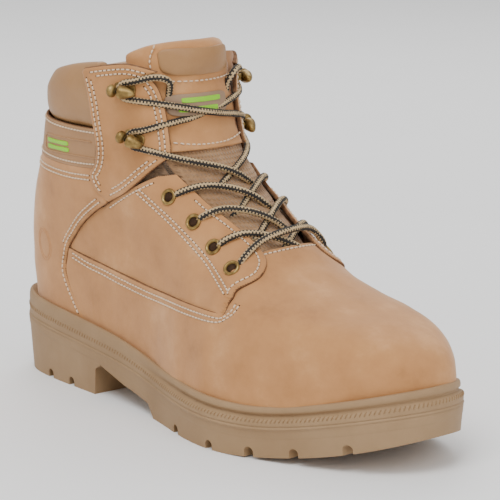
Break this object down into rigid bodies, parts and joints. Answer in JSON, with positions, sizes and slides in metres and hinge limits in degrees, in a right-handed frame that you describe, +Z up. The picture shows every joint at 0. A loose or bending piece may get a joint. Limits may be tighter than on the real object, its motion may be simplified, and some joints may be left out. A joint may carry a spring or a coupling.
{
  "type": "steel toe work boot",
  "caption": "Ankle-height laced safety boot for a right foot, with a hidden steel toe cap, padded collar, eyelets, speed hooks and a cleated moulded sole.",
  "frame": {"origin": "on the ground under the middle of the boot's bounding box", "axes": "toe towards +X, lateral (outer) side towards -Y, +Z up, sole on the ground"},
  "size_m": [0.3144, 0.1113, 0.197],
  "materials": {
    "nubuck": "sanded nubuck, soft mottled nap",
    "smooth_pu": "smooth coated leather, low sheen",
    "raw_edge": "raw dark edge leather",
    "sole_rubber": "moulded polyurethane, matte",
    "steel": "pressed steel",
    "antique_brass": "antique plated",
    "lining_textile": "padded mesh textile",
    "woven_textile": "coarse woven textile",
    "foam": "open cell foam",
    "board": "fibre board",
    "lace_braid": "round braid, beige and black",
    "aglet": "clear wrapped tip over black",
    "badge": "moulded patch"
  },
  "bodies": {
    "boot": {"outsole": "sole_rubber", "midsole": "sole_rubber", "midplate": "steel", "insole_board": "board", "toe_cap": "steel", "toe_cap_edge_strip": "foam", "vamp_interlining": "foam", "heel_counter": "board", "ankle_foam": "foam", "shaft_lining": "lining_textile", "vamp_lining": "lining_textile", "vamp": "nubuck", "quarter_lateral": "nubuck", "quarter_medial": "nubuck", "ankle_panel_lateral": "nubuck", "ankle_panel_medial": "nubuck", "heel_panel_lateral": "nubuck", "heel_panel_medial": "nubuck", "backstay_strip": "nubuck", "collar_band": "smooth_pu", "collar_pad": "smooth_pu", "eyelets_lateral": "antique_brass", "eyelets_medial": "antique_brass", "lace_hooks_lateral": "antique_brass", "lace_hooks_medial": "antique_brass", "hook_rivets_lateral": "antique_brass", "hook_rivets_medial": "antique_brass", "lace": "lace_braid", "lace_aglets": "aglet"},
    "tongue": {"tongue_face": "nubuck", "tongue_textile": "woven_textile", "tongue_foam": "foam", "tongue_lining": "lining_textile", "tongue_badge": "badge"},
    "pull_tab": {"pull_loop": "raw_edge"},
    "removable_footbed": {"footbed": "lining_textile"}
  },
  "joints": [
    {"name": "tongue_tilt", "type": "hinge", "parent": "boot", "child": "tongue", "pos_m": [0.046, 0.004, 0.084], "axis": [0, -1, 0], "range_deg": [0, 10]},
    {"name": "pull_loop_swing", "type": "hinge", "parent": "boot", "child": "pull_tab", "pos_m": [-0.133, 0.004, 0.1515], "axis": [0, 1, 0], "range_deg": [0, 70]},
    {"name": "footbed_lift", "type": "hinge", "parent": "boot", "child": "removable_footbed", "pos_m": [0.146, 0.004, 0.033], "axis": [0, 1, 0], "range_deg": [0, 3]}
  ]
}
